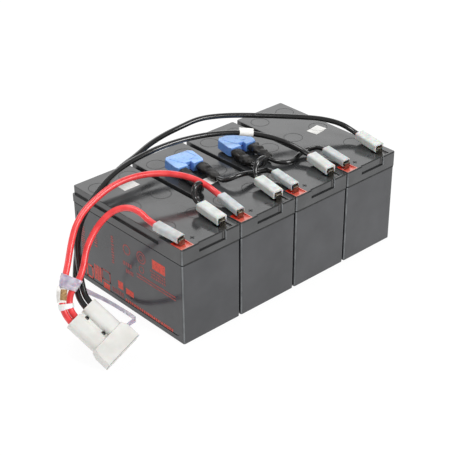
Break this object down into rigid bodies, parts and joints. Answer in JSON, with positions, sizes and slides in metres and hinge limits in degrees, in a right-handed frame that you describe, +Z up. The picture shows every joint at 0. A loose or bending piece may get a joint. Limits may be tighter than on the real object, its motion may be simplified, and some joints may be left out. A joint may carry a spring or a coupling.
{
  "type": "ups battery cartridge",
  "caption": "sealed lead-acid blocks in a row with a fused wiring harness and a two-pole power connector, to swap into an uninterruptible power supply",
  "frame": {"origin": "middle of the underside of the row of four blocks, on the surface that they stand on", "axes": "+Z up; +X along the row, away from the power connector; -Y is the end with the terminals"},
  "size_m": [0.3467, 0.151, 0.1244],
  "materials": {
    "case_plastic": "moulded dark grey ABS, satin, with a little gloss on the lids",
    "seal_red": "red potting cup round the positive tab",
    "seal_black": "black potting cup round the negative tab",
    "tab_metal": "tinned tab",
    "plate_lead": "lead plates, straps and posts",
    "sleeve_plastic": "milky nylon insulating sleeve",
    "receptacle_metal": "tinned brass receptacle and crimp",
    "red_insulation": "red vinyl wire insulation",
    "black_insulation": "black vinyl wire insulation",
    "connector_plastic": "off-white moulded connector housing",
    "contact_metal": "silver plated copper contact",
    "fuse_plastic": "clear blue fuse body",
    "fuse_metal": "tinned zinc blades and link",
    "boot_rubber": "black push-on fuse boots",
    "label_paper": "blank white paper",
    "tape_foam": "double-sided foam tape",
    "strap_film": "soft lilac-grey translucent vinyl strap"
  },
  "bodies": {
    "root": {"container_1": "case_plastic", "lid_1": "case_plastic", "plate_groups_1": "plate_lead", "positive_tab_1": "tab_metal", "positive_seal_1": "seal_red", "positive_sleeve_1": "sleeve_plastic", "negative_tab_1": "tab_metal", "negative_seal_1": "seal_black", "negative_sleeve_1": "sleeve_plastic", "container_2": "case_plastic", "lid_2": "case_plastic", "plate_groups_2": "plate_lead", "positive_tab_2": "tab_metal", "positive_seal_2": "seal_red", "positive_sleeve_2": "sleeve_plastic", "negative_tab_2": "tab_metal", "negative_seal_2": "seal_black", "negative_sleeve_2": "sleeve_plastic", "container_3": "case_plastic", "lid_3": "case_plastic", "plate_groups_3": "plate_lead", "positive_tab_3": "tab_metal", "positive_seal_3": "seal_red", "positive_sleeve_3": "sleeve_plastic", "negative_tab_3": "tab_metal", "negative_seal_3": "seal_black", "negative_sleeve_3": "sleeve_plastic", "container_4": "case_plastic", "lid_4": "case_plastic", "plate_groups_4": "plate_lead", "positive_tab_4": "tab_metal", "positive_seal_4": "seal_red", "positive_sleeve_4": "sleeve_plastic", "negative_tab_4": "tab_metal", "negative_seal_4": "seal_black", "negative_sleeve_4": "sleeve_plastic", "vent_caps": "case_plastic", "bonding_tapes": "tape_foam", "lid_stickers": "label_paper", "receptacles": "receptacle_metal", "fuse_element_1": "fuse_metal", "fuse_body_1": "fuse_plastic", "fuse_boots_1": "boot_rubber", "fuse_element_2": "fuse_metal", "fuse_body_2": "fuse_plastic", "fuse_boots_2": "boot_rubber", "connector_housing": "connector_plastic", "connector_contacts": "contact_metal", "red_lead_1": "red_insulation", "red_lead_2": "red_insulation", "black_lead_3": "black_insulation", "black_lead_4": "black_insulation", "jumper_1_in": "black_insulation", "jumper_1_out": "black_insulation", "jumper_2_in": "black_insulation", "jumper_2_out": "black_insulation", "pull_strap": "strap_film", "lead_labels": "label_paper"}
  },
  "joints": []
}
